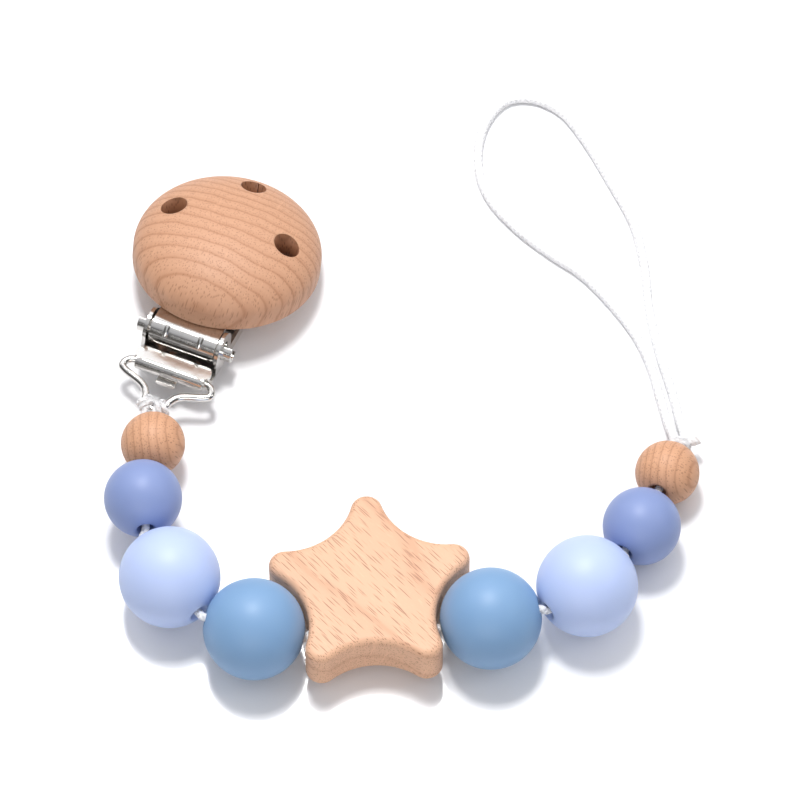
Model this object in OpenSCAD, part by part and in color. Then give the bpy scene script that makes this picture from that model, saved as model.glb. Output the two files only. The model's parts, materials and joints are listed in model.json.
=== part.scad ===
// Pacifier holder: a wooden-faced clip, a wire loop, nine beads on a cord and a cord loop for the pacifier.
// Millimetres, +Z up, laid out on a table at z = 0 in one curve. +X runs along the star's bore.

/* [Beads] */
// Diameter of the mid-blue and pale-blue silicone beads
large_bead_d = 19; // [18.6:0.1:19.4]
// Diameter of the dusk-blue silicone beads
dusk_bead_d = 14.7; // [14.2:0.1:15]
// Diameter of the small beech beads
wood_bead_d = 12.2; // [11.8:0.1:12.4]
// Diameter of the drilled bore through every bead
bead_bore_d = 3.2; // [3:0.1:3.4]
// Gap between neighbouring beads
bead_gap = 0.2; // [0.2:0.05:0.4]

/* [Star] */
// Distance from the star's centre to the centre of each rounded tip
star_tip_reach = 16.6; // [16.2:0.1:16.8]
// Radius of each rounded tip
star_tip_r = 3.0; // [2.8:0.1:3.3]
// Distance from the star's centre to the bottom of each notch
star_notch_reach = 13.1; // [12.8:0.1:13.2]
// Thickness of the star
star_t = 9.5; // [9:0.1:10]
// Rounding of the star's edges
star_edge_r = 1.7; // [1:0.1:2]
// Distance from the star's centre back to its bore
star_bore_back = 7.6; // [7.2:0.1:7.8]
// Tilt of the star about its bore, far tip down on the table
star_tilt = 5; // [4:0.5:7]

/* [Wooden disc] */
// Radius of the clip's beech disc
disc_r = 18.3; // [18:0.1:18.6]
// Full height of the domed disc
disc_h = 12.6; // [11:0.2:13]
// Height at which the rim turns into the dome
disc_rim_h = 3.2; // [2.6:0.2:4.4]
// Diameter of the three vent holes
vent_d = 5; // [4:0.5:5.5]
// Distance of the vent holes from the disc's axis
vent_reach = 11.8; // [11:0.1:12.5]

/* [Clip] */
// Thickness of the stamped sheet metal
sheet = 0.7; // [0.6:0.05:0.8]
// Width of the base plate over its ears
clip_w = 15.6; // [15.4:0.1:16]
// Distance from the disc's axis to the lever's pivot
pivot_back = 19.2; // [19:0.1:19.6]
// Distance from the disc's axis to the wire bar
bar_back = 26.6; // [26.4:0.1:27.4]
// Tilt of the closed clip, disc's far rim down on the table
clip_pitch = 15; // [14:0.5:16]
// Heading of the clip, measured from +X
clip_heading = 65; // [62:1:70]

/* [Wire loop] */
// Wire diameter
wire_d = 1.5; // [1.4:0.05:1.5]
// Straight length of the wire bar inside the fold
wire_bar = 15.4; // [15:0.1:15.8]

/* [Cord] */
// Diameter of the cord in its free loop
cord_d = 1.8; // [1.6:0.1:1.9]
// Diameter of the cord where it is drawn tight through the beads
tight_cord_d = 1.6; // [1.4:0.1:1.6]

/* [Hidden] */
$fn = 96;
eps = 0.01;

beech = [0.90, 0.68, 0.53];
mid_blue = [0.47, 0.62, 0.80];
pale_blue = [0.76, 0.84, 0.98];
dusk_blue = [0.55, 0.62, 0.83];
nickel = [0.78, 0.77, 0.75];
cord_white = [0.96, 0.96, 0.97];

function dir(heading, pitch = 0) = [cos(heading) * cos(pitch), sin(heading) * cos(pitch), sin(pitch)];
function unit(v) = v / norm(v);
function heading_of(v) = atan2(v.y, v.x);
function pitch_of(v) = asin(v.z / norm(v));

// --- Star: five tip arcs joined by five notch arcs that are tangent to them
star_n = 5;
star_half = 180 / star_n;
notch_lead = star_notch_reach - star_tip_reach * cos(star_half);
notch_r = (notch_lead ^ 2 + (star_tip_reach * sin(star_half)) ^ 2 - star_tip_r ^ 2)
    / (2 * (star_tip_r - notch_lead));
notch_reach = star_notch_reach + notch_r;
// Angle at the tip's centre, between the tip's own direction and the tangent point
tip_sweep = star_half + atan2(star_tip_reach * sin(star_half), notch_reach - star_tip_reach * cos(star_half));
// The notch that the bore comes out of lies 18 degrees behind the star's cross line
notch_back = star_half / 2;
star_bore_half = notch_reach * cos(notch_back)
    - sqrt(notch_r ^ 2 - (notch_reach * sin(notch_back) - star_bore_back) ^ 2);
// Height of the bore when the rounded far tip rests on the table
star_far = star_bore_back + star_tip_reach + star_tip_r - star_edge_r;
star_bore_z = star_edge_r + star_far * sin(star_tilt) + (star_t / 2 - star_edge_r) * cos(star_tilt);

// --- Bead chain in plan, from the star outwards: [mid-blue, pale-blue, dusk-blue, beech]
bead_r = [large_bead_d, large_bead_d, dusk_bead_d, wood_bead_d] / 2;
// Headings of the links mid to pale, pale to dusk, dusk to beech
left_links = [143, 105.4, 81];
right_links = [17.7, 48.8, 64.4];
// Heights of the bead centres
left_z = [large_bead_d / 2, large_bead_d / 2, 10.4, 7.5];
right_z = [large_bead_d / 2, large_bead_d / 2, 8.1, wood_bead_d / 2];
// The mid-blue beads sit in the star's notches and touch no tip
mid_reach = star_tip_reach * cos(star_half)
    + sqrt((bead_r[0] + star_tip_r + 1.25) ^ 2 - (star_tip_reach * sin(star_half)) ^ 2);
mid_x = mid_reach * cos(notch_back);

function next_bead(at, r_sum, heading, z) =
    let (rise = z - at.z, plan = sqrt((r_sum + bead_gap) ^ 2 - rise ^ 2))
    at + [plan * cos(heading), plan * sin(heading), rise];
function chain(start, links, zs, i = 1) = i > 3 ? [start]
    : concat([start], chain(next_bead(start, bead_r[i - 1] + bead_r[i], links[i - 1], zs[i]), links, zs, i + 1));

left_c = chain([-mid_x, 0, left_z[0]], left_links, left_z);
right_c = chain([mid_x, 0, right_z[0]], right_links, right_z);

// --- Clip: its frame has its origin at the disc's underside centre, -Y to the wire loop
disc_edge_r = 0.5;
clip_z = (disc_r - disc_edge_r) * sin(clip_pitch) + disc_edge_r * (1 - cos(clip_pitch));
half_w = clip_w / 2;
roll_r = 3;
pivot_z = -roll_r;
trunnion_r = 1.8;
ear_hole_r = trunnion_r + 0.08;
ear_r = 3.6;
lever_half = half_w - sheet - 0.4;
wire_r = wire_d / 2;
curl_in = wire_r + 0.08;
curl_out = curl_in + sheet;
bar_z = -5.7;
floor_top = bar_z - curl_in;
floor_bottom = bar_z - curl_out;
// The base plate's jaw end stands on the table together with the disc's far rim
jaw_y = -(-floor_bottom * cos(clip_pitch) - clip_z) / sin(clip_pitch);
jaw_half = 6.2;
pad_top = -4.6;
jaw_gap = 0.3;
lip_half = 4.6;

// --- Wire loop: half its outline is bar, shoulder, slanting side, throat and nose
side_slant = 25;
shoulder_r = 1.5;
throat_r = 1.2;
nose_r = 2.3;
side_l = (wire_bar / 2 + shoulder_r * sin(side_slant) - throat_r * (1 - sin(side_slant)) - nose_r) / cos(side_slant);
throat_y = shoulder_r * (1 + cos(side_slant)) + side_l * sin(side_slant) + throat_r * cos(side_slant);
loop_reach = throat_y + nose_r;
bar_height = clip_z + bar_back * sin(clip_pitch) + bar_z * cos(clip_pitch);
nose = [left_c[3].x, left_c[3].y + bead_r[3] + 2.2, bar_height];
bar_centre = nose + loop_reach * dir(clip_heading);
clip_centre = [bar_centre.x, bar_centre.y, clip_z]
    + (bar_back * cos(clip_pitch) - bar_z * sin(clip_pitch)) * dir(clip_heading);

// --- Bore axes: each bead points along the mean of the links on its two sides,
knot_lead = dir(66, -24);
star_exit = [star_bore_half, 0, star_bore_z];
// and the first one lies closer to the star's own bore
function axes(cs, from, last) = [for (i = [0:3])
    unit((i == 0 ? 2 * unit(cs[0] - from) : unit(cs[i] - cs[i - 1])) + (i == 3 ? last : unit(cs[i + 1] - cs[i])))];
left_axis = axes(left_c, [-star_exit.x, 0, star_exit.z], unit(nose - left_c[3]));
right_axis = axes(right_c, star_exit, knot_lead);

// --- Origin: the middle of the holder's own box, cord left out, at table height
disc_far = clip_centre.y + disc_r;
star_near = star_bore_back * cos(star_tilt) - (star_tip_reach * cos(star_half) + star_tip_r);
box_x = [left_c[2].x - bead_r[2], right_c[3].x + bead_r[3]];
box_y = [min(star_near, -bead_r[0]), disc_far];
shift = [-(box_x[0] + box_x[1]) / 2, -(box_y[0] + box_y[1]) / 2, 0];

// --- Cord: held run through the beads, and a free loop from the knot round to the knot
run_half = 0.9;
function through(c, a, r) = [for (s = [-run_half, -0.3, 0.3, run_half]) c + a * r * s];
function reversed(list) = [for (i = [len(list) - 1:-1:0]) list[i]];
left_run = [for (i = [0:3]) each through(left_c[i], left_axis[i], bead_r[i])];
right_run = [for (i = [0:3]) each through(right_c[i], right_axis[i], bead_r[i])];
knot_at = right_c[3] + right_axis[3] * (bead_r[3] + 1.6);
run_route = concat([nose - [0, wire_r + tight_cord_d / 2, 0]], reversed(left_run),
    [for (s = [-1, -0.4, 0.4, 1]) [s * (star_bore_half - 0.3), 0, star_bore_z]], right_run, [knot_at]);

lie = cord_d / 2;
// Free loop, from the knot along its inner strand, round the far end and back to the knot
loop_route = [[59.9, 37.3, 4.0], [59.2, 41.0, 2.4], [58.4, 45.5, lie], [57.4, 51.0, lie], [56.3, 57.0, lie],
    [53.9, 64.0, lie], [49.5, 71.5, lie], [44.5, 78.0, lie], [38.6, 83.0, lie], [32.5, 89.0, lie],
    [27.6, 96.0, lie], [25.7, 103.5, lie], [27.0, 112.0, lie], [31.5, 118.2, lie], [37.5, 118.8, lie],
    [43.2, 115.2, lie], [47.6, 107.8, lie], [51.6, 98.6, lie], [55.2, 89.4, lie], [56.7, 79.5, lie],
    [56.9, 69.5, lie], [58.2, 60.0, lie], [60.0, 51.0, lie], [60.9, 45.0, lie], [61.5, 40.9, 2.4],
    [61.4, 37.2, 4.0]];

// Catmull-Rom points, two to a stretch, kept on the table
function spline_point(a, b, c, d, t) =
    0.5 * (2 * b + (c - a) * t + (2 * a - 5 * b + 4 * c - d) * t ^ 2 + (3 * b - a - 3 * c + d) * t ^ 3);
function on_table(p) = [p.x, p.y, max(p.z, lie)];
function smooth(p) = let (n = len(p) - 1) [for (i = [0:n - 1], t = [0, 0.5])
    on_table(spline_point(p[max(i - 1, 0)], p[i], p[i + 1], p[min(i + 2, n)], t)), p[n]];

cord_sides = 8;
function tube_ring(p, i, r) = let (n = len(p) - 1,
    along = unit(p[min(i + 1, n)] - p[max(i - 1, 0)]),
    across = unit(cross([0, 0, 1], along)), up = cross(along, across))
    [for (k = [0:cord_sides - 1]) let (a = 360 / cord_sides * (k + 0.5))
        p[i] + r / cos(180 / cord_sides) * (across * cos(a) + up * sin(a))];

// Side faces between rings of m points, and the two end caps
function skin_faces(rings, m) = concat(
    [[for (k = [0:m - 1]) k]],
    [for (i = [0:rings - 2], k = [0:m - 1])
        [i * m + k, (i + 1) * m + k, (i + 1) * m + (k + 1) % m, i * m + (k + 1) % m]],
    [[for (k = [m - 1:-1:0]) (rings - 1) * m + k]]);

module tube(route, d) {
    points = [for (i = [0:len(route) - 1]) each tube_ring(route, i, d / 2)];
    polyhedron(points, skin_faces(len(route), cord_sides), convexity = 8);
}

// Turns a shape drawn about Z so that its axis lies along X and its X along Y
module along_x() { rotate([90, 0, 90]) children(); }

module aim(at, axis) {
    translate(at) rotate([0, 90 - pitch_of(axis), heading_of(axis)]) children();
}

module rod(a, b, r) {
    aim(a, b - a) cylinder(r = r, h = norm(b - a), $fn = 32);
}

module placed() { translate(shift) children(); }

module clip_frame() {
    placed() translate(clip_centre) rotate([0, 0, clip_heading - 90]) rotate([-clip_pitch, 0, 0]) children();
}

// Wire loop's frame: origin at the middle of the bar, +Y towards the nose, flat
module wire_frame() {
    placed() translate(bar_centre) rotate([0, 0, clip_heading + 90]) children();
}

// ---------------------------------------------------------------- beads

// Straight bore along Z with a chamfered mouth at each end of a bead of the given half length
module bore(half) {
    chamfer = 1.2;
    cylinder(d = bead_bore_d, h = 2 * half + 4, center = true, $fn = 48);
    for (s = [0, 1]) mirror([0, 0, s]) translate([0, 0, half - chamfer])
        cylinder(r1 = bead_bore_d / 2, r2 = bead_bore_d / 2 + chamfer + 0.3, h = chamfer + 0.3, $fn = 48);
}

module round_bead(r) {
    difference() {
        sphere(r = r);
        bore(r - 0.1);
    }
}

module bead_on(c, axis, r) {
    placed() aim(c, axis) round_bead(r);
}

// Star outline, moved in from the full outline by inset
function star_outline(inset) = [for (i = [0:star_n - 1]) let (a = 90 + i * 2 * star_half, b = a + star_half)
    each concat(
        [for (k = [0:9]) star_tip_reach * [cos(a), sin(a)]
            + (star_tip_r - inset) * [cos(a + tip_sweep * (k / 4.5 - 1)), sin(a + tip_sweep * (k / 4.5 - 1))]],
        [for (k = [1:8]) let (t = b + 180 + (tip_sweep - star_half) * (1 - k / 4.5))
            notch_reach * [cos(b), sin(b)] + (notch_r + inset) * [cos(t), sin(t)]])];

module star_solid() {
    steps = 5;
    m = star_n * 18;
    lower = [for (k = [0:steps]) let (a = 90 * k / steps)
        [star_edge_r * (1 - cos(a)), star_edge_r * (1 - sin(a))]];
    // Each level is [height, inset], from the bottom face to the top face
    levels = concat([for (l = lower) [l[0], l[1]]],
        [for (l = reversed(lower)) [star_t - l[0], l[1]]]);
    points = [for (l = levels) each [for (p = star_outline(l[1])) [p.x, p.y, l[0]]]];
    polyhedron(points, skin_faces(len(levels), m), convexity = 6);
}

module star_bead() {
    color(beech) placed() translate([0, 0, star_bore_z]) rotate([-star_tilt, 0, 0]) difference() {
        translate([0, star_bore_back, -star_t / 2]) star_solid();
        along_x() bore(star_bore_half + 0.2);
    }
}

module mid_bead_left() { color(mid_blue) bead_on(left_c[0], left_axis[0], bead_r[0]); }
module pale_bead_left() { color(pale_blue) bead_on(left_c[1], left_axis[1], bead_r[1]); }
module dusk_bead_left() { color(dusk_blue) bead_on(left_c[2], left_axis[2], bead_r[2]); }
module wood_bead_left() { color(beech) bead_on(left_c[3], left_axis[3], bead_r[3]); }
module mid_bead_right() { color(mid_blue) bead_on(right_c[0], right_axis[0], bead_r[0]); }
module pale_bead_right() { color(pale_blue) bead_on(right_c[1], right_axis[1], bead_r[1]); }
module dusk_bead_right() { color(dusk_blue) bead_on(right_c[2], right_axis[2], bead_r[2]); }
module wood_bead_right() { color(beech) bead_on(right_c[3], right_axis[3], bead_r[3]); }

// ---------------------------------------------------------------- clip: wooden disc and its lever

// Places of the brads that hold the lever plate under the disc
brads = [[-4.2, -13], [4.2, -13], [0, 3.2]];
brad_r = 0.55;
brad_l = 5;

module clip_disc() {
    dome = [for (a = [0:7.5:90]) [disc_r * cos(a), disc_rim_h + (disc_h - disc_rim_h) * sin(a)]];
    foot = [for (a = [270:30:360]) [disc_r - disc_edge_r + disc_edge_r * cos(a), disc_edge_r * (1 + sin(a))]];
    color(beech) clip_frame() difference() {
        rotate_extrude() polygon(concat([[0, 0]], foot, dome));
        for (a = [0, 90, 180]) rotate(a) translate([vent_reach, 0, -eps])
            cylinder(d = vent_d, h = disc_h + 1, $fn = 48);
        for (b = brads) translate([b.x, b.y, -eps]) cylinder(r = brad_r, h = brad_l + eps, $fn = 24);
    }
}

module disc_brads() {
    head_r = 1.3;
    head_h = 0.5;
    color(nickel) clip_frame() for (b = brads) translate([b.x, b.y, -sheet]) {
        cylinder(r = brad_r, h = sheet + brad_l, $fn = 24);
        translate([0, 0, -head_h]) cylinder(r1 = head_r * 0.7, r2 = head_r, h = head_h, $fn = 32);
    }
}

// Rolled end of the lever, drawn about Z: angle 90 points up to the disc, 180 to the wire loop
module roll() {
    turn = 165;
    cheek = 0.6;
    tongue_r = 9;
    difference() {
        translate([0, 0, -lever_half]) rotate(90) rotate_extrude(angle = turn)
            translate([roll_r - sheet, 0]) square([sheet, 2 * lever_half]);
        // The lower edge is cut to a round tongue
        difference() {
            translate([-roll_r - 1, -roll_r - 1, -lever_half - 1]) cube([2 * roll_r, roll_r + 1, 2 * lever_half + 2]);
            translate([0, tongue_r - 2.9, 0]) rotate([0, 90, 0]) cylinder(r = tongue_r, h = 4 * roll_r, center = true);
        }
    }
    for (s = [-1, 1]) translate([0, 0, s * (lever_half - cheek / 2) - cheek / 2]) {
        rotate(90) rotate_extrude(angle = turn) square([roll_r - 0.1, cheek]);
        cylinder(r = trunnion_r, h = cheek, $fn = 48);
    }
}

module lever_plate() {
    window_far = -3.4;
    lip_y = jaw_y - sheet / 2;
    lip_h = -(pad_top + jaw_gap);
    tab_out = 1.9;
    rib_r = 0.55;
    color(nickel) clip_frame() {
        difference() {
            union() {
                translate([-lever_half, -pivot_back, -sheet]) cube([2 * lever_half, pivot_back, sheet]);
                translate([0, 0, -sheet]) cylinder(r = lever_half, h = sheet);
            }
            translate([-lip_half - 0.3, lip_y + sheet, -sheet - 1])
                cube([2 * lip_half + 0.6, window_far - lip_y - sheet, sheet + 2]);
            for (b = brads) translate([b.x, b.y, -sheet - 1]) cylinder(r = brad_r, h = sheet + 2, $fn = 24);
        }
        // Toothed jaw lip, bent down out of the window
        difference() {
            translate([-lip_half, lip_y, -lip_h]) cube([2 * lip_half, sheet, lip_h]);
            for (i = [-2:2]) translate([i * 1.8, lip_y - 1, -lip_h]) rotate([-90, 0, 0])
                cylinder(r = 0.5, h = sheet + 2, $fn = 24);
        }
        translate([0, -pivot_back, pivot_z]) {
            along_x() roll();
            // Stiffening ribs across the roll
            for (s = [-1, 1]) translate([s * 3.5, 0, 0]) along_x() rotate(112) rotate_extrude(angle = 46)
                translate([roll_r - 0.2, 0]) circle(r = rib_r, $fn = 24);
            // Rolled trunnion tabs, out through the ears
            for (s = [0, 1]) mirror([s, 0, 0]) translate([lever_half - eps, 0, 0]) along_x() rotate(110)
                rotate_extrude(angle = 220) translate([trunnion_r - sheet, 0])
                square([sheet, half_w + tab_out - lever_half]);
        }
    }
}

// ---------------------------------------------------------------- clip: base plate

module base_plate() {
    flange_h = 2.4;
    ear_back = pivot_back + ear_r;
    flap_l = 2.9;
    floor_l = bar_back + jaw_y;
    curl_half = 6.9;
    color(nickel) clip_frame() {
        difference() {
            union() {
                // Floor, its bent-up jaw end and its curl round the wire bar
                translate([-curl_half, -bar_back, floor_bottom]) cube([2 * curl_half, 2.5, sheet]);
                translate([-half_w, -bar_back + 2.2, floor_bottom]) cube([clip_w, floor_l - 2.2, sheet]);
                translate([-jaw_half, jaw_y - sheet, floor_bottom]) cube([2 * jaw_half, sheet, sheet + 1.1]);
                translate([-curl_half, -bar_back, bar_z]) along_x() rotate(90) rotate_extrude(angle = 180)
                    translate([curl_in, 0]) square([sheet, 2 * curl_half]);
                // Flap that closes the curl, with a round lobe at each end
                translate([-curl_half, -bar_back, bar_z + curl_in]) cube([2 * curl_half, flap_l, sheet]);
                for (s = [-1, 1]) translate([s * (curl_half - 0.9), -bar_back + 1.2, bar_z + curl_in])
                    cylinder(r = 1.8, h = sheet, $fn = 48);
                // Stop tab under the curl
                translate([-1.9, -bar_back - 2.6, floor_bottom]) cube([3.8, 3, sheet]);
                // Side flanges and ears
                for (s = [-1, 1]) translate([s * (half_w - sheet / 2) - sheet / 2, 0, 0]) {
                    translate([0, -ear_back + 1, floor_bottom]) cube([sheet, ear_back - 1 + jaw_y, flange_h]);
                    translate([0, -pivot_back, pivot_z]) along_x() cylinder(r = ear_r, h = sheet, $fn = 64);
                    translate([0, -pivot_back - ear_r, floor_bottom])
                        cube([sheet, 2 * ear_r, pivot_z - floor_bottom]);
                }
            }
            translate([-half_w - 1, -pivot_back, pivot_z]) along_x()
                cylinder(r = ear_hole_r, h = clip_w + 2, $fn = 64);
        }
    }
}

module jaw_pad() {
    over = 0.7;
    color([0.92, 0.92, 0.93]) clip_frame() difference() {
        translate([-jaw_half - over, jaw_y - sheet - over, floor_top + 0.4])
            cube([2 * (jaw_half + over), sheet + 2 * over, pad_top - floor_top - 0.4]);
        translate([-jaw_half, jaw_y - sheet, floor_bottom]) cube([2 * jaw_half, sheet, sheet + 1.1]);
    }
}

// ---------------------------------------------------------------- wire loop and cord

module wire_arc(r, angle, thin = 0) {
    rotate_extrude(angle = angle) translate([r, 0]) circle(r = wire_r - thin, $fn = 32);
}

// The bends next to the straight stretches are drawn down by a hair, as bending does
module wire_loop() {
    throat_x = nose_r + throat_r;
    lap = 0.05;
    drawn = 0.01;
    color(nickel) wire_frame() {
        translate([-wire_bar / 2 - lap, 0, 0]) along_x() cylinder(r = wire_r, h = wire_bar + 2 * lap, $fn = 32);
        for (s = [0, 1]) mirror([s, 0, 0]) {
            translate([wire_bar / 2, shoulder_r, 0]) rotate(-90) wire_arc(shoulder_r, 180 - side_slant, drawn);
            translate([throat_x, throat_y, 0]) rotate(180 - side_slant)
                translate([lap, throat_r, 0]) rotate([0, -90, 0]) cylinder(r = wire_r, h = side_l + 2 * lap, $fn = 32);
            translate([throat_x, throat_y, 0]) rotate(180) wire_arc(throat_r, 90 - side_slant, drawn);
        }
        translate([0, throat_y, 0]) rotate(-1) wire_arc(nose_r, 182);
    }
}

// Cord hitched round the wire's nose: two wraps and the two strands that meet in the bead's mouth
module cord_hitch() {
    wrap_r = 1.5;
    nose_y = loop_reach - nose_r;
    color(cord_white) {
        wire_frame() for (s = [0, 1]) mirror([s, 0, 0]) translate([0, nose_y, 0]) rotate(22)
            rotate_extrude(angle = 46) translate([nose_r, 0]) difference() {
                circle(r = wrap_r, $fn = 32);
                circle(r = wire_r, $fn = 32);
            }
        wire_frame() for (s = [-1, 1])
            rod([s * 1.9, loop_reach - 0.2, 0], [s * 0.5, loop_reach + 1.5, 0.1], 0.7);
    }
}

module cord_run() {
    color(cord_white) placed() tube(run_route, tight_cord_d);
}

// Overhand knot against the last bead, with its cut end turned aside
module cord_knot() {
    turn_r = 1.25;
    tail = knot_at + [2.6, 0.4, 0.6];
    color(cord_white) placed() {
        aim(knot_at, right_axis[3]) rotate_extrude() translate([turn_r, 0]) circle(d = cord_d, $fn = 32);
        aim(knot_at - right_axis[3] * 0.6, right_axis[3]) cylinder(r = turn_r, h = 1.2, $fn = 32);
        rod(knot_at, tail, 1);
        aim(tail, [1, 0.5, 0.5]) cylinder(r = 1.5, h = 1.1, $fn = 32);
    }
}

module cord_loop() {
    color(cord_white) placed() tube(smooth(loop_route), cord_d);
}

clip_disc();
disc_brads();
lever_plate();
base_plate();
jaw_pad();
wire_loop();
cord_hitch();
cord_run();
cord_knot();
cord_loop();
star_bead();
mid_bead_left();
pale_bead_left();
dusk_bead_left();
wood_bead_left();
mid_bead_right();
pale_bead_right();
dusk_bead_right();
wood_bead_right();
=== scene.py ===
import json
import math
import random

import bmesh
import bpy
from mathutils import Matrix, Vector

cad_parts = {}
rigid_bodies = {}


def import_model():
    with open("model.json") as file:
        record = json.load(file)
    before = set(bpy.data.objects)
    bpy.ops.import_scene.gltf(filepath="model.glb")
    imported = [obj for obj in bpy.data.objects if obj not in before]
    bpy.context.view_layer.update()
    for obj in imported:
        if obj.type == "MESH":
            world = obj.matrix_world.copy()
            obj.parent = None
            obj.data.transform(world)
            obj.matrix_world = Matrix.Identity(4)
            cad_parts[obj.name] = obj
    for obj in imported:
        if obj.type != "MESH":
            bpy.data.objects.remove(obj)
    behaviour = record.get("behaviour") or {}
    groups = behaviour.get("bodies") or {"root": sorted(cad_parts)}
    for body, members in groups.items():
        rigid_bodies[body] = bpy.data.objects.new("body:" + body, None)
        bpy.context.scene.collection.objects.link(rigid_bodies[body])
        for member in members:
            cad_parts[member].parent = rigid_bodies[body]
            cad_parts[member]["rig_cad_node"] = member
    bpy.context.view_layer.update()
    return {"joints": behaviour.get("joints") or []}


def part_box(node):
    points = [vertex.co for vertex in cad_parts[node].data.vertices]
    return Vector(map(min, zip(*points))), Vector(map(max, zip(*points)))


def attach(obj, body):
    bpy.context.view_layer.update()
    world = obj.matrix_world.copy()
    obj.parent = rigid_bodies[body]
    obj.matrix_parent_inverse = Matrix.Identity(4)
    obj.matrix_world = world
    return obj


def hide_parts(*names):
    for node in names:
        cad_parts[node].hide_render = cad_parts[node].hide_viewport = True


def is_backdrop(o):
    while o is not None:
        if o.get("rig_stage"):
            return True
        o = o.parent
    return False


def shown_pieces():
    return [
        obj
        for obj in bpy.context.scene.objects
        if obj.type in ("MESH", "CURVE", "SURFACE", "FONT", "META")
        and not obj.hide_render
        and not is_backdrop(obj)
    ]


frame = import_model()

bpy.context.scene.view_settings.view_transform = "Standard"
MM = 0.001
joints = {j["name"]: j for j in frame["joints"]}
SIDES = ("left", "right")


# ------------------------------------------------------------------ places taken from the frame
def joint_at(name):
    return Vector(joints[name]["pos_m"])


def joint_axis(name):
    return Vector(joints[name]["axis"]).normalized()


def span(node):
    lo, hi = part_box(node)
    return Vector(lo), Vector(hi)


chain = Vector((joint_at("star_swing").x, joint_at("star_swing").y, 0))
bead_radius = {}
for kind in ("mid", "pale", "dusk", "wood"):
    lo, hi = span(kind + "_bead_left")
    bead_radius[kind] = (hi - lo)[0] / 2

clip_axis = joint_axis("clip_swing")
bar_at, pivot_at = joint_at("clip_swing"), joint_at("clip_lever")
clip_dir = Vector((0, 0, 1)).cross(clip_axis).normalized()
PITCH = math.radians(15)
clip_y = (clip_dir * math.cos(PITCH) - Vector((0, 0, 1)) * math.sin(PITCH)).normalized()
clip_z = clip_axis.cross(clip_y).normalized()
PIVOT_BACK, PIVOT_Z = 19.2 * MM, -3 * MM
disc_at = pivot_at + clip_y * PIVOT_BACK - clip_z * PIVOT_Z
CLIP = Matrix((clip_axis, clip_y, clip_z)).transposed().to_4x4()
CLIP.translation = disc_at


# ------------------------------------------------------------------ camera, floor and light
AZIMUTH, ELEVATION, DISTANCE = math.radians(2.84), math.radians(61), 0.95
look_at = chain + Vector((7.488, 48.192, 7.6)) * MM
look = Vector((math.sin(AZIMUTH) * math.cos(ELEVATION), math.cos(AZIMUTH) * math.cos(ELEVATION),
               -math.sin(ELEVATION)))
camera_data = bpy.data.cameras.new("camera")
camera_data.sensor_width = 36
camera_data.lens = 224.37
camera_data.clip_start, camera_data.clip_end = 0.05, 20
camera = bpy.data.objects.new("camera", camera_data)
bpy.context.scene.collection.objects.link(camera)
camera.location = look_at - look * DISTANCE
camera.rotation_mode = "QUATERNION"
camera.rotation_quaternion = look.to_track_quat("-Z", "Y")
bpy.context.scene.camera = camera


def link(o):
    bpy.context.scene.collection.objects.link(o)
    return o


def new_material(name):
    m = bpy.data.materials.new(name)
    m.use_nodes = True
    m.node_tree.nodes.clear()
    return m, m.node_tree


class Nodes:
    """Small builder for a node tree: nodes are added left to right and wired by name."""

    def __init__(self, tree):
        self.tree = tree

    def add(self, kind, inputs=None, **props):
        n = self.tree.nodes.new(kind)
        for k, v in props.items():
            setattr(n, k, v)
        for k, v in (inputs or {}).items():
            if isinstance(v, bpy.types.NodeSocket):
                self.tree.links.new(v, n.inputs[k])
            else:
                n.inputs[k].default_value = v
        return n

    def math(self, op, a, b=0.0, c=None):
        ins = {0: a, 1: b}
        if c is not None:
            ins[2] = c
        return self.add("ShaderNodeMath", ins, operation=op).outputs[0]

    def vmath(self, op, a, b=(0, 0, 0)):
        n = self.add("ShaderNodeVectorMath", {0: a, 1: b}, operation=op)
        return n.outputs["Value"] if op == "DOT_PRODUCT" else n.outputs[0]

    def ramp(self, fac, stops, interpolation="LINEAR"):
        n = self.add("ShaderNodeValToRGB", {"Fac": fac})
        n.color_ramp.interpolation = interpolation
        el = n.color_ramp.elements
        while len(el) < len(stops):
            el.new(0.5)
        for e, (p, c) in zip(el, stops):
            e.position = p
            e.color = c if len(c) == 4 else (*c, 1)
        return n.outputs["Color"]

    def mix(self, fac, a, b, blend="MIX"):
        n = self.add("ShaderNodeMix", data_type="RGBA", blend_type=blend)
        for k, v in ((0, fac), (6, a), (7, b)):
            if isinstance(v, bpy.types.NodeSocket):
                self.tree.links.new(v, n.inputs[k])
            else:
                n.inputs[k].default_value = v if k == 0 or len(v) == 4 else (*v, 1)
        return n.outputs[2]

    def noise(self, vector, scale, detail=2.0, rough=0.5, **extra):
        return self.add("ShaderNodeTexNoise", {"Vector": vector, "Scale": scale, "Detail": detail,
                                               "Roughness": rough, **extra}).outputs["Fac"]

    def mapping(self, vector, scale=(1, 1, 1), rotation=(0, 0, 0), location=(0, 0, 0)):
        return self.add("ShaderNodeMapping", {"Vector": vector, "Scale": scale, "Rotation": rotation,
                                              "Location": location}).outputs[0]

    def bump(self, height, strength, distance):
        return self.add("ShaderNodeBump", {"Height": height, "Strength": strength,
                                           "Distance": distance}).outputs[0]

    def finish(self, **inputs):
        b = self.add("ShaderNodeBsdfPrincipled", {k.replace("_", " "): v for k, v in inputs.items()})
        out = self.add("ShaderNodeOutputMaterial")
        self.tree.links.new(b.outputs[0], out.inputs["Surface"])
        return b


def floor_material():
    m, tree = new_material("floor_white")
    n = Nodes(tree)
    at = n.add("ShaderNodeTexCoord").outputs["Object"]
    n.finish(Base_Color=(0.93, 0.93, 0.94, 1),
             Roughness=n.math("ADD", n.math("MULTIPLY", n.noise(at, 30), 0.04), 0.10),
             Specular_IOR_Level=0.5)
    return m


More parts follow.
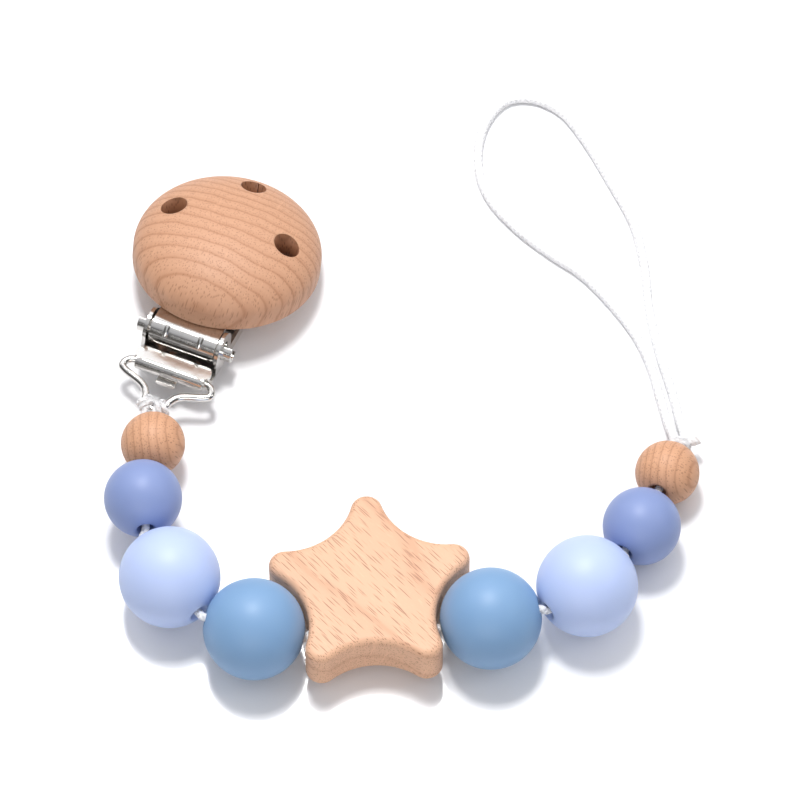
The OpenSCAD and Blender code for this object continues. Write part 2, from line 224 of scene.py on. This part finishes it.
def floor():
    size = 3.0
    me = bpy.data.meshes.new("floor")
    corners = [(-size, -size, 0), (size, -size, 0), (size, size, 0), (-size, size, 0)]
    me.from_pydata(corners, [], [(0, 1, 2, 3)])
    me.materials.append(floor_material())
    o = link(bpy.data.objects.new("floor", me))
    o.location.z = -0.00002
    o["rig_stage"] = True


def lamp(name, azimuth, elevation, distance, size, power, colour=(1, 1, 1)):
    """A rectangular softbox aimed at the object; azimuth 0 is behind the object as the camera sees it."""
    data = bpy.data.lights.new(name, "AREA")
    data.shape = "RECTANGLE"
    data.size, data.size_y = size
    data.energy = power
    data.color = colour
    o = link(bpy.data.objects.new(name, data))
    a, e = math.radians(azimuth), math.radians(elevation)
    d = Vector((math.sin(a) * math.cos(e), math.cos(a) * math.cos(e), math.sin(e)))
    o.location = look_at + d * distance
    o.rotation_mode = "QUATERNION"
    o.rotation_quaternion = (-d).to_track_quat("-Z", "Y")
    o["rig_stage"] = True
    return o


def world():
    """Dim studio with a broad white card standing behind the object."""
    w = bpy.data.worlds.new("studio")
    bpy.context.scene.world = w
    w.use_nodes = True
    w.node_tree.nodes.clear()
    n = Nodes(w.node_tree)
    d = n.add("ShaderNodeSeparateXYZ", {0: n.add("ShaderNodeTexCoord").outputs["Generated"]})
    room = n.ramp(n.math("MULTIPLY_ADD", d.outputs["Z"], 0.5, 0.5),
                  [(0.0, (0.5, 0.5, 0.5)), (0.5, (0.30, 0.29, 0.28)), (0.62, (0.10, 0.095, 0.09)),
                   (0.84, (0.16, 0.16, 0.17)), (0.93, (0.75, 0.76, 0.80)), (1.0, (0.85, 0.86, 0.90))])
    across = n.ramp(d.outputs["Y"], [(0.25, (0, 0, 0)), (0.50, (1, 1, 1))])
    rise = n.ramp(d.outputs["Z"],
                  [(0.30, (0, 0, 0)), (0.42, (1, 1, 1)), (0.74, (1, 1, 1)), (0.86, (0, 0, 0))])
    card = n.mix(1.0, across, rise, "MULTIPLY")
    colour = n.mix(card, room, (1.9, 1.9, 1.95))
    bg = n.add("ShaderNodeBackground", {"Color": colour, "Strength": 0.8})
    out = n.add("ShaderNodeOutputWorld")
    w.node_tree.links.new(bg.outputs[0], out.inputs["Surface"])


floor()
world()
lamp("key_light", 350, 72, 0.75, (0.15, 0.15), 4.2)
lamp("fill_light", 190, 32, 1.0, (0.9, 0.4), 3.0)
lamp("side_light", 95, 40, 0.9, (0.25, 0.5), 0.8)


# ------------------------------------------------------------------ materials
def beech(name, seed, light=(0.64, 0.355, 0.22), dark=(0.40, 0.175, 0.085), spacing=0.0021, grain=(0, 0, 1),
          radial=(0, -1, 0), centre=0.055, flecks=1.0, bands=1.0,
          dashes=(2600, 260), turn=None):
    """Turned beech in the piece's own coordinates: rings lie across radial, pores and flecks along grain."""
    m, tree = new_material(name)
    n = Nodes(tree)
    at = n.add("ShaderNodeTexCoord").outputs["Object"]
    g, r = Vector(grain).normalized(), Vector(radial).normalized()
    if turn is not None:
        g, r = turn.to_3x3() @ g, turn.to_3x3() @ r
    r = (r - g * r.dot(g)).normalized()
    t = g.cross(r)
    off = random.Random(seed).uniform(0.2, 0.9)
    u = n.vmath("DOT_PRODUCT", at, tuple(r))
    v = n.vmath("DOT_PRODUCT", at, tuple(t))
    w = n.vmath("DOT_PRODUCT", at, tuple(g))
    wood = n.add("ShaderNodeCombineXYZ", {0: u, 1: v, 2: w}).outputs[0]
    # Ring number: distance from a far pith, bent by slow noise that changes little along the grain
    slow = n.noise(n.mapping(wood, (60, 60, 18), location=(off * 7, off * 3, off)), 1.0, 2.0, 0.5)
    fine = n.noise(n.mapping(wood, (260, 160, 60), location=(off, off * 5, 0)), 1.0, 3.0, 0.6)
    ucc = n.math("ADD", u, centre)
    reach = n.math("SQRT", n.math("ADD", n.math("MULTIPLY", ucc, ucc), n.math("MULTIPLY", v, v)))
    ring = n.math("ADD", n.math("DIVIDE", reach, spacing),
                  n.math("ADD", n.math("MULTIPLY", slow, 1.7), n.math("MULTIPLY", fine, 0.22)))
    saw = n.math("FRACT", ring)
    thin = n.ramp(n.math("FRACT", n.math("MULTIPLY", ring, 3.0)), [(0.0, (0.6, 0.6, 0.6)), (0.35, (0, 0, 0)),
                                                                  (0.7, (0.1, 0.1, 0.1)), (1.0, (1, 1, 1))])
    late = n.ramp(saw, [(0.0, (0.9, 0.9, 0.9)), (0.06, (0.25, 0.25, 0.25)), (0.30, (0.05, 0.05, 0.05)),
                        (0.62, (0.12, 0.12, 0.12)), (0.86, (0.42, 0.42, 0.42)), (0.95, (1, 1, 1)),
                        (1.0, (0.95, 0.95, 0.95))])
    tone = n.noise(n.mapping(wood, (90, 70, 25), location=(3, off, 2)), 1.0, 4.0, 0.6)
    # Flecks along the grain, pale rays across the rings, and end-grain pores
    cells = n.mapping(wood, (dashes[0], dashes[0], dashes[1]), location=(off, 0, off))
    dash = n.add("ShaderNodeTexVoronoi", {"Vector": cells, "Scale": 1.0}).outputs["Distance"]
    dash = n.ramp(dash, [(0.20, (1, 1, 1)), (0.36, (0, 0, 0))])
    rays = n.noise(n.mapping(wood, (140, 2300, 420), location=(off, 0, 0)), 1.0, 1.5, 0.5)
    rays = n.ramp(rays, [(0.60, (0, 0, 0)), (0.72, (1, 1, 1))])
    pores = n.noise(n.mapping(wood, (4200, 4200, 500)), 1.0, 1.0, 0.5)
    colour = n.mix(n.math("MULTIPLY", late, 0.85 * bands), light, dark)
    colour = n.mix(n.math("MULTIPLY", thin, 0.16 * bands), colour, dark)
    colour = n.mix(n.math("MULTIPLY", tone, 0.5), colour, tuple(0.9 * c for c in light), "MIX")
    colour = n.mix(n.math("MULTIPLY", dash, 0.62 * flecks), colour, tuple(0.75 * c for c in dark))
    colour = n.mix(n.math("MULTIPLY", rays, 0.28 * flecks), colour, tuple(min(1, 1.18 * c) for c in light))
    colour = n.mix(n.math("MULTIPLY", pores, 0.20), colour, tuple(0.72 * c for c in light))
    height = n.math("ADD", n.math("MULTIPLY", dash, -0.6), n.math("MULTIPLY", pores, 0.5))
    n.finish(Base_Color=colour, Roughness=n.math("MULTIPLY_ADD", late, 0.08, 0.50),
             Specular_IOR_Level=0.35, Normal=n.bump(height, 0.35, 0.00006))
    return m


def silicone(name, colour, seed):
    m, tree = new_material(name)
    n = Nodes(tree)
    at = n.add("ShaderNodeTexCoord").outputs["Object"]
    off = random.Random(seed).uniform(0, 1)
    cloud = n.noise(n.mapping(at, (90, 90, 90), location=(off, off, off)), 1.0, 3.0, 0.5)
    c = n.mix(n.math("MULTIPLY", cloud, 0.25), colour, tuple(0.93 * x for x in colour))
    dust = n.noise(n.mapping(at, (5200, 5200, 5200)), 1.0, 1.0, 0.5)
    n.finish(Base_Color=c, Roughness=n.math("MULTIPLY_ADD", cloud, 0.06, 0.42),
             Specular_IOR_Level=0.4, Subsurface_Weight=0.12, Subsurface_Radius=(0.002, 0.0022, 0.003),
             Subsurface_Scale=0.6, Normal=n.bump(dust, 0.05, 0.00004))
    return m


def nickel(name="nickel_plate", rough=0.13, tint=(0.74, 0.72, 0.69)):
    m, tree = new_material(name)
    n = Nodes(tree)
    at = n.add("ShaderNodeTexCoord").outputs["Object"]
    wave = n.noise(n.mapping(at, (260, 260, 260)), 1.0, 2.0, 0.5)
    grit = n.noise(n.mapping(at, (3000, 3000, 3000)), 1.0, 1.0, 0.5)
    height = n.math("ADD", n.math("MULTIPLY", wave, 1.0), n.math("MULTIPLY", grit, 0.05))
    n.finish(Base_Color=n.mix(wave, tint, tuple(0.86 * x for x in tint)), Metallic=1.0,
             Roughness=n.math("MULTIPLY_ADD", grit, 0.06, rough), Normal=n.bump(height, 0.25, 0.0002))
    return m


def cord_material(name="cord_braid", pitch=0.0011):
    """White round braid: two families of diagonal strands in the tube's own length and girth coordinates,
    with painted shade in the grooves between strands.
    """
    m, tree = new_material(name)
    n = Nodes(tree)
    uv = n.add("ShaderNodeTexCoord").outputs["UV"]
    at = n.add("ShaderNodeTexCoord").outputs["Object"]
    s = n.add("ShaderNodeSeparateXYZ", {0: uv})
    a = n.math("MULTIPLY", s.outputs[0], 2 * math.pi / pitch)
    b = n.math("MULTIPLY", s.outputs[1], 2 * math.pi * 4)
    one = n.math("SINE", n.math("ADD", a, b))
    two = n.math("SINE", n.math("SUBTRACT", a, b))
    braid = n.math("MAXIMUM", one, two)
    fuzz = n.noise(n.mapping(at, (3500, 3500, 3500)), 1.0, 2.0, 0.6)
    height = n.math("ADD", braid, n.math("MULTIPLY", fuzz, 0.7))
    # Painted shade: the colour drops from near white to grey where the braid height is low, in the grooves
    # between strands.
    groove_painted_shade = n.ramp(n.math("MULTIPLY_ADD", height, 0.3, 0.35),
                   [(0.0, (0.86, 0.86, 0.88)), (0.5, (0.96, 0.96, 0.97)), (1.0, (0.98, 0.98, 0.99))])
    n.finish(Base_Color=groove_painted_shade, Roughness=0.85, Specular_IOR_Level=0.2, Sheen_Weight=0.15,
             Subsurface_Weight=0.5, Subsurface_Radius=(0.002, 0.002, 0.002), Subsurface_Scale=1.0,
             Normal=n.bump(height, 0.55, 0.00022))
    return m


WHITE_CORD = cord_material()
# Painted shade: a darker copy of the beech for the inside walls of the disc's vent holes, standing in for the
# shade in the holes.
VENT_PAINTED_SHADE = beech("beech_vent_painted_shade", 33, (0.30, 0.13, 0.065), (0.12, 0.045, 0.02), bands=0.8)
NICKEL = nickel()
SILICONE = {"mid": silicone("silicone_mid_blue", (0.205, 0.355, 0.57), 1),
            "pale": silicone("silicone_pale_blue", (0.49, 0.59, 0.87), 2),
            "dusk": silicone("silicone_dusk_blue", (0.235, 0.305, 0.55), 3)}


# ------------------------------------------------------------------ mesh helpers
def mesh_piece(name, verts, faces, material, matrix):
    """The matrix's turn goes into the mesh and its place into the object, so that bounds stay tight."""
    turn = matrix.to_3x3()
    me = bpy.data.meshes.new(name)
    me.from_pydata([tuple(turn @ Vector(v)) for v in verts], [], faces)
    me.validate()
    me.materials.append(material)
    o = link(bpy.data.objects.new(name, me))
    o.location = matrix.translation
    bm = bmesh.new()
    bm.from_mesh(me)
    bmesh.ops.recalc_face_normals(bm, faces=bm.faces)
    bm.to_mesh(me)
    bm.free()
    me.polygons.foreach_set("use_smooth", [True] * len(me.polygons))
    return o


def lathe(profile, segments=96):
    """Closed profile of (radius, height) turned about Z."""
    verts, faces = [], []
    m = len(profile)
    for i in range(segments):
        a = 2 * math.pi * i / segments
        for r, z in profile:
            verts.append((r * math.cos(a), r * math.sin(a), z))
    for i in range(segments):
        j = (i + 1) % segments
        for k in range(m):
            q = (k + 1) % m
            faces.append((i * m + k, j * m + k, j * m + q, i * m + q))
    return verts, faces


def frame_on(at, z, x_hint=(1, 0, 0)):
    z = Vector(z).normalized()
    x = Vector(x_hint)
    x = (x - z * x.dot(z)).normalized()
    m = Matrix((x, z.cross(x), z)).transposed().to_4x4()
    m.translation = at
    return m


def cut(target, cutters):
    """Boolean-cuts the cutters out of the target's mesh, and removes them."""
    for c in cutters:
        mod = target.modifiers.new("cut", "BOOLEAN")
        mod.operation, mod.solver, mod.object = "DIFFERENCE", "EXACT", c
    bpy.context.view_layer.update()
    done = bpy.data.meshes.new_from_object(target.evaluated_get(bpy.context.evaluated_depsgraph_get()))
    target.modifiers.clear()
    target.data = done
    for c in cutters:
        bpy.data.objects.remove(c)


# ------------------------------------------------------------------ cords
def smooth_path(points, parts=4):
    out = []
    for i in range(len(points) - 1):
        a, b = points[max(i - 1, 0)], points[i]
        c, d = points[i + 1], points[min(i + 2, len(points) - 1)]
        for k in range(parts):
            t = k / parts
            out.append(0.5 * (2 * b + (c - a) * t + (2 * a - 5 * b + 4 * c - d) * t * t
                              + (3 * b - a - 3 * c + d) * t ** 3))
    return out + [points[-1]]


def tube_piece(name, points, diameter, material, body="root", sides=20, parts=4, widths=None, closed=False):
    """Round tube swept along a smooth path; UV holds metres along it and turns round it, for the braid."""
    n = len(points)
    if closed:
        wide = [points[-1]] + list(points) + [points[0], points[1]]
        path = smooth_path(wide, parts)[parts:-parts - 1]
    else:
        path = smooth_path(points, parts)
    m = len(path)
    verts, faces, uvs = [], [], []
    tangents = []
    for i in range(m):
        a = path[(i - 1) % m] if closed or i else path[0]
        b = path[(i + 1) % m] if closed or i < m - 1 else path[-1]
        tangents.append((b - a).normalized())
    across = tangents[0].orthogonal().normalized()
    along = 0.0
    lengths = []
    for i, (p, t) in enumerate(zip(path, tangents)):
        across = (across - t * across.dot(t)).normalized()
        up = t.cross(across)
        along += (p - path[i - 1]).length if i else 0.0
        lengths.append(along)
        w = 1.0
        if widths:
            k = min(i / parts, n - 1)
            near, far = widths[int(k)], widths[min(int(k) + 1, n - 1)]
            w = near + (far - near) * (k - int(k))
        for s in range(sides):
            g = 2 * math.pi * s / sides
            verts.append(p + (across * math.cos(g) + up * math.sin(g)) * (diameter / 2 * w))
    for i in range(m if closed else m - 1):
        j = (i + 1) % m
        for s in range(sides):
            q = (s + 1) % sides
            faces.append((i * sides + s, j * sides + s, j * sides + q, i * sides + q))
            end = lengths[j] if j else along + (path[0] - path[-1]).length
            uvs += [(lengths[i], s / sides), (end, s / sides),
                    (end, (s + 1) / sides), (lengths[i], (s + 1) / sides)]
    if not closed:
        faces += [tuple(reversed(range(sides))), tuple(range((m - 1) * sides, m * sides))]
        uvs += [(0.0, 0.0)] * sides + [(along, 0.0)] * sides
    me = bpy.data.meshes.new(name)
    me.from_pydata([tuple(v) for v in verts], [], faces)
    layer = me.uv_layers.new(name="length_and_girth")
    for loop_uv, uv in zip(layer.data, uvs):
        loop_uv.uv = uv
    me.materials.append(material)
    me.polygons.foreach_set("use_smooth", [True] * len(me.polygons))
    o = link(bpy.data.objects.new(name, me))
    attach(o, body)
    return o


# Free loop: from the knot along its inner strand, round the far end and back to the knot
LIE = 0.9
LOOP = [(59.9, 37.3, 4.0), (59.2, 41.0, 2.4), (58.4, 45.5, LIE), (57.4, 51.0, LIE), (56.3, 57.0, LIE),
        (53.9, 64.0, LIE), (49.5, 71.5, LIE), (44.5, 78.0, LIE), (38.6, 83.0, LIE), (32.5, 89.0, LIE),
        (27.6, 96.0, LIE), (25.7, 103.5, LIE), (27.0, 112.0, LIE), (31.5, 118.2, LIE), (37.5, 118.8, LIE),
        (43.2, 115.2, LIE), (47.6, 107.8, LIE), (51.6, 98.6, LIE), (55.2, 89.4, LIE), (56.7, 79.5, LIE),
        (56.9, 69.5, LIE), (58.2, 60.0, LIE), (60.0, 51.0, LIE), (60.9, 45.0, LIE), (61.5, 40.9, 2.4),
        (61.4, 37.2, 4.0)]
loop_points = [chain + Vector(p) * MM for p in LOOP]
loop = tube_piece("cord_loop_braid", loop_points, 1.8 * MM, WHITE_CORD)
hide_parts("cord_loop")


# ------------------------------------------------------------------ beads
def bead_profile(radius, bore=1.5 * MM, mouth=2.0 * MM):
    top = math.sqrt(radius ** 2 - mouth ** 2)
    inner = [(bore, -(top - 1.1 * MM)), (bore, 0.0), (bore, top - 1.1 * MM),
             (bore + 0.08 * MM, top - 0.5 * MM), (bore + 0.25 * MM, top - 0.15 * MM)]
    start = math.asin(mouth / radius)
    outer = [(radius * math.sin(a), radius * math.cos(a))
             for a in (start + (math.pi - 2 * start) * k / 48 for k in range(49))]
    return inner + outer + [(bore + 0.25 * MM, -(top - 0.15 * MM)), (bore + 0.08 * MM, -(top - 0.5 * MM))]


def bead(kind, side, material):
    joint = f"{kind}_{side}_spin"
    verts, faces = lathe(bead_profile(bead_radius[kind]), 128)
    o = mesh_piece(f"{kind}_bead_{side}_round", verts, faces, material,
                   frame_on(joint_at(joint), joint_axis(joint)))
    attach(o, f"{kind}_{side}")
    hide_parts(f"{kind}_bead_{side}")
    return o


for side in SIDES:
    for kind in ("mid", "pale", "dusk"):
        bead(kind, side, SILICONE[kind])
    bead("wood", side, beech("beech_bead_" + side, 5 if side == "left" else 9, (0.70, 0.385, 0.23),
                             (0.40, 0.18, 0.09), 0.0015, (0.3, 0.9, 0.4), (1, 0.1, 0.2), 0.02, bands=0.9,
                             turn=frame_on(Vector(), joint_axis(f"wood_{side}_spin"))))


# ------------------------------------------------------------------ star
TIP_REACH, TIP_R, NOTCH_REACH, STAR_T, BORE_BACK, STAR_TILT = 16.6, 3.0, 13.1, 9.5, 7.6, math.radians(5)


def star_outline(inset):
    half = math.pi / 5
    lead = NOTCH_REACH - TIP_REACH * math.cos(half)
    notch_r = (lead ** 2 + (TIP_REACH * math.sin(half)) ** 2 - TIP_R ** 2) / (2 * (TIP_R - lead))
    notch_reach = NOTCH_REACH + notch_r
    sweep = half + math.atan2(TIP_REACH * math.sin(half), notch_reach - TIP_REACH * math.cos(half))
    out = []
    for i in range(5):
        a = math.pi / 2 + 2 * half * i
        b = a + half
        for k in range(25):
            t = a + sweep * (k / 12 - 1)
            out.append((TIP_REACH * math.cos(a) + (TIP_R - inset) * math.cos(t),
                        TIP_REACH * math.sin(a) + (TIP_R - inset) * math.sin(t)))
        for k in range(1, 16):
            t = b + math.pi + (sweep - half) * (1 - k / 8)
            out.append((notch_reach * math.cos(b) + (notch_r + inset) * math.cos(t),
                        notch_reach * math.sin(b) + (notch_r + inset) * math.sin(t)))
    return out


def star():
    edge, steps = 1.45, 8
    curve = [(edge * (1 - math.cos(math.pi / 2 * k / steps)), edge * (1 - math.sin(math.pi / 2 * k / steps)))
             for k in range(steps + 1)]
    levels = curve + [(STAR_T - z, i) for z, i in reversed(curve)]
    rings = [[Vector((x, y + BORE_BACK, z - STAR_T / 2)) * MM for x, y in star_outline(i)] for z, i in levels]
    m = len(rings[0])
    verts = [v for ring in rings for v in ring]
    faces = [(i * m + k, i * m + (k + 1) % m, (i + 1) * m + (k + 1) % m, (i + 1) * m + k)
             for i in range(len(rings) - 1) for k in range(m)]
    faces += [tuple(reversed(range(m))), tuple(range((len(rings) - 1) * m, len(rings) * m))]
    tilt = Matrix.Rotation(-STAR_TILT, 4, "X")
    tilt.translation = joint_at("star_swing")
    wood = beech("beech_star", 3, turn=tilt, light=(0.80, 0.485, 0.315), dark=(0.36, 0.13, 0.07),
                 grain=(0.64, -0.77, 0.0), radial=(0.2, 0.1, 1),
                 spacing=0.0052, centre=0.09, flecks=1.2, bands=0.35, dashes=(3600, 190))
    o = mesh_piece("star_body", verts, faces, wood, tilt)
    r, half = 1.6 * MM, 14 * MM
    cv, cf = lathe([(0, -half), (r, -half), (r, half), (0, half)], 48)
    across = tilt @ Matrix.Rotation(math.pi / 2, 4, "Y")
    cutter = mesh_piece("star_bore_cutter", cv, cf, wood, across)
    cut(o, [cutter])
    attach(o, "star")
    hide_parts("star_bead")


star()


# ------------------------------------------------------------------ wooden disc
def disc():
    r, h, rim, foot, vent, reach = 18.3, 12.6, 3.2, 0.7, 2.5, 11.8
    profile = [(0.0, 0.0)]
    profile += [(r - foot + foot * math.cos(a), foot * (1 + math.sin(a)))
                for a in (-math.pi / 2 + math.pi / 2 * k / 6 for k in range(7))]
    profile += [(r * math.cos(a), rim + (h - rim) * math.sin(a))
                for a in (math.pi / 2 * k / 40 for k in range(1, 41))]
    profile = [(max(a, 0.0) * MM, z * MM) for a, z in profile]
    verts, faces = lathe(profile, 160)
    wood = beech("beech_disc", 21, turn=CLIP, grain=(0.10, 0.30, 0.95), radial=(0.06, -1.0, 0.2),
                 spacing=0.0022, centre=0.06)
    o = mesh_piece("disc_dome", verts, faces, wood, CLIP)
    bm = bmesh.new()
    bm.from_mesh(o.data)
    bmesh.ops.remove_doubles(bm, verts=bm.verts, dist=1e-7)
    bmesh.ops.recalc_face_normals(bm, faces=bm.faces)
    bm.to_mesh(o.data)
    bm.free()
    # The vent-hole walls get the painted-shade beech as material 1.
    o.data.materials.append(VENT_PAINTED_SHADE)
    cutters = []
    for a in (0, 90, 180):
        a = math.radians(a)
        cv, cf = lathe([(0, -0.01), (vent * MM, -0.01), (vent * MM, 0.03), (0, 0.03)], 64)
        place = Matrix.Translation((reach * MM * math.cos(a), reach * MM * math.sin(a), 0))
        c = mesh_piece("vent_cutter", cv, cf, wood, CLIP @ place)
        c.data.materials.append(VENT_PAINTED_SHADE)
        c.data.polygons.foreach_set("material_index", [1] * len(c.data.polygons))
        cutters.append(c)
    cut(o, cutters)
    o.data.polygons.foreach_set("use_smooth", [True] * len(o.data.polygons))
    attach(o, "lever")
    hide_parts("clip_disc")


disc()


# ------------------------------------------------------------------ cord run and plate materials
def cord_run():
    lo, hi = span("cord_run")
    route = []
    for kind in ("wood", "dusk", "pale", "mid"):
        j = f"{kind}_left_spin"
        c, a, r = joint_at(j), joint_axis(j), bead_radius[kind]
        route += [c + a * r * s for s in (0.9, 0, -0.9)]
    s = joint_at("star_swing")
    route += [s + Vector((x, 0, 0)) * MM for x in (-10.5, 0, 10.5)]
    for kind in ("mid", "pale", "dusk", "wood"):
        j = f"{kind}_right_spin"
        c, a, r = joint_at(j), joint_axis(j), bead_radius[kind]
        route += [c + a * r * s for s in (-0.9, 0, 0.9)]
    o = tube_piece("cord_run_braid", route, 1.5 * MM, WHITE_CORD)
    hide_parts("cord_run")


cord_run()


def plate_look(node, material, width=0.00012):
    o = [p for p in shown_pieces() if p.get("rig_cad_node") == node][-1]
    o.data.materials.clear()
    o.data.materials.append(material)
    mod = o.modifiers.new("edge", "BEVEL")
    mod.width, mod.segments, mod.limit_method, mod.angle_limit = width, 2, "ANGLE", math.radians(40)
    return o


for node in ("base_plate", "lever_plate", "disc_brads"):
    plate_look(node, NICKEL)
pad, pad_tree = new_material("pad_white")
pn = Nodes(pad_tree)
pn.finish(Base_Color=pn.mix(pn.noise(pn.add("ShaderNodeTexCoord").outputs["Object"], 400), (0.86, 0.86, 0.87),
                            (0.80, 0.80, 0.82)), Roughness=0.5)
plate_look("jaw_pad", pad)


# ------------------------------------------------------------------ wire loop, hitch and knot
SLANT, SHOULDER_R, THROAT_R, NOSE_R, WIRE_BAR = math.radians(25), 1.5, 1.2, 2.3, 15.4
SIDE_RUN = WIRE_BAR / 2 + SHOULDER_R * math.sin(SLANT) - THROAT_R * (1 - math.sin(SLANT)) - NOSE_R
SIDE_L = SIDE_RUN / math.cos(SLANT)
THROAT_Y = SHOULDER_R * (1 + math.cos(SLANT)) + SIDE_L * math.sin(SLANT) + THROAT_R * math.cos(SLANT)
WIRE = Matrix((-clip_axis, -clip_dir, Vector((0, 0, 1)))).transposed().to_4x4()
WIRE.translation = bar_at


def on_wire(x, y, z=0.0):
    return WIRE @ (Vector((x, y, z)) * MM)


def wire_loop():
    """Bar, round shoulders, sides that sweep in as an S, and the nose."""
    half = [(0, 0), (2.6, 0), (5.2, 0), (7.2, 0), (8.25, 0.28), (9.02, 1.05), (9.17, 2.05), (8.55, 2.95),
            (7.5, 3.5), (6.3, 3.95), (5.0, 4.45), (4.0, 5.0), (3.2, 5.75), (2.7, 6.6), (2.35, 7.3)]
    scale = THROAT_Y / 7.3
    half = [(x, y * scale if y > 2.2 else y) for x, y in half]
    nose = [(NOSE_R * math.cos(a), THROAT_Y + NOSE_R * math.sin(a))
            for a in (math.radians(d) for d in (22, 45, 68, 90))]
    side = half[1:] + nose[:-1]  # one side, from the bar round to the nose
    ring = side + [nose[-1]] + [(-x, y) for x, y in reversed(side)] + [(0, 0)]
    path = [on_wire(x, y) for x, y in ring]
    o = tube_piece("wire_loop_bent", path, 1.5 * MM, NICKEL, sides=24, closed=True)
    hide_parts("wire_loop")


def hitch():
    """Each side of the cord winds twice round the wire, then runs down into the first bead."""
    first = joint_at("wood_left_spin") + joint_axis("wood_left_spin") * (bead_radius["wood"] - 0.4 * MM)
    parts = []
    for s in (-1, 1):
        points = []
        for k in range(33):
            t = k / 32
            phi = math.radians(90) - s * math.radians(68 - 42 * t)
            e = Vector((math.cos(phi), math.sin(phi), 0))
            turn = 2 * math.pi * 2.1 * t + 1.9
            out = e * math.cos(turn) + Vector((0, 0, 1)) * math.sin(turn)
            at = Vector((0, THROAT_Y, 0)) + e * NOSE_R + out * 1.2
            points.append(on_wire(*at))
        points += [on_wire(s * 1.0, THROAT_Y + NOSE_R + 1.5, 0.7), first + clip_axis * (-s * 0.35 * MM)]
        parts.append(tube_piece("hitch_wrap_" + ("left" if s > 0 else "right"), points, 1.1 * MM, WHITE_CORD))
    for o in parts:
        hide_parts("cord_hitch")


def knot():
    """Overhand knot pulled up against the last bead, its short cut end turned up and aside."""
    a = joint_axis("wood_right_spin")
    bead_at = joint_at("wood_right_spin")
    at = bead_at + a * (bead_radius["wood"] + 1.6 * MM)
    side = a.cross(Vector((0, 0, 1))).normalized()
    up = side.cross(a)
    points = [bead_at + a * (bead_radius["wood"] - 0.8 * MM)]
    for k in range(25):
        t = k / 24
        turn = 2 * math.pi * 1.55 * t - 0.6
        r = 1.3 - 0.15 * math.cos(3 * turn)
        points.append(at + (side * math.cos(turn) + up * math.sin(turn)) * r * MM + a * (1.0 * t - 0.5) * MM)
    body = tube_piece("knot_turns", points, 1.7 * MM, WHITE_CORD)
    steps = ((0, 0, 0), (1.3, 0.3, 0.9), (2.5, 0.5, 1.0), (3.3, 0.9, 1.2))
    tail = [at + Vector(v) * MM for v in steps]
    end = tube_piece("knot_cut_end", tail, 1.9 * MM, WHITE_CORD, widths=(0.8, 0.9, 1.05, 1.3))
    for o in (body, end):
        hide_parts("cord_knot")


wire_loop()
hitch()
knot()
